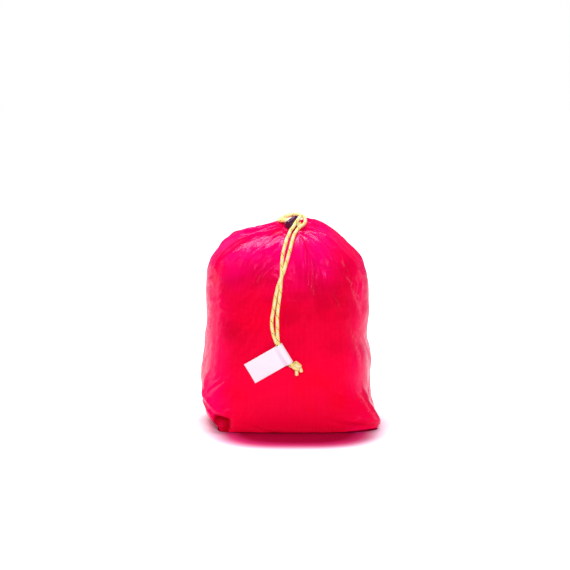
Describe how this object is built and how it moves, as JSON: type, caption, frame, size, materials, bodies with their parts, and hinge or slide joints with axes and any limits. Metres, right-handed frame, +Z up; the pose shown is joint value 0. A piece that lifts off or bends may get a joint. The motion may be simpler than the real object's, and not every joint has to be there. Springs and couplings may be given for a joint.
{
  "type": "drawstring stuff sack",
  "caption": "Filled drawstring stuff sack of thin red cloth, cinched by a looped cord and a sprung cord lock, with a plain folded label and a knot on the cord.",
  "frame": {"origin": "middle of the base, on the surface that the sack stands on", "axes": "+Z up, +X to the viewer's right when the cord faces the viewer, the cord and label on the -Y side"},
  "size_m": [0.159, 0.1309, 0.1934],
  "materials": {
    "red_cloth": "shiny coated ripstop nylon",
    "thread": "polyester sewing thread",
    "cord": "braided cord with dark and white tracer flecks",
    "label_cloth": "satin woven tape",
    "label_thread": "sewing thread",
    "lock_plastic": "moulded acetal",
    "spring_steel": "drawn spring wire",
    "packed_cloth": "soft clothing, rolled"
  },
  "bodies": {
    "sack": {"body_panel": "red_cloth", "base_panel": "red_cloth", "back_seam": "red_cloth", "back_seam_threads": "thread", "base_seam_thread": "thread", "drawcord_channel": "red_cloth", "channel_thread": "thread", "cord_exit_stitching": "thread", "drawcord_loop": "cord", "cord_inner": "cord", "cord_outer": "cord", "cord_knot": "cord", "cord_ends": "cord", "packed_load": "packed_cloth"},
    "lock": {"lock_barrel": "lock_plastic", "lock_spring": "spring_steel"},
    "plunger": {"lock_plunger": "lock_plastic"},
    "tag": {"label": "label_cloth", "label_stitching": "label_thread"}
  },
  "joints": [
    {"name": "lock_slide", "type": "slide", "parent": "sack", "child": "lock", "axis": [-0.866, 0.4755, 0.1545], "range_m": [0, 0.003]},
    {"name": "lock_press", "type": "slide", "parent": "lock", "child": "plunger", "axis": [-0.5, -0.8236, -0.2676], "range_m": [0, 0.0016], "stiffness_N_per_m": 500, "springref_m": -0.004, "deforming": ["lock_spring"]},
    {"name": "label_flip", "type": "hinge", "parent": "sack", "child": "tag", "pos_m": [-0.0048, -0.0642, 0.074], "axis": [-0.515, 0, 0.8572], "range_deg": [0, 165]}
  ]
}
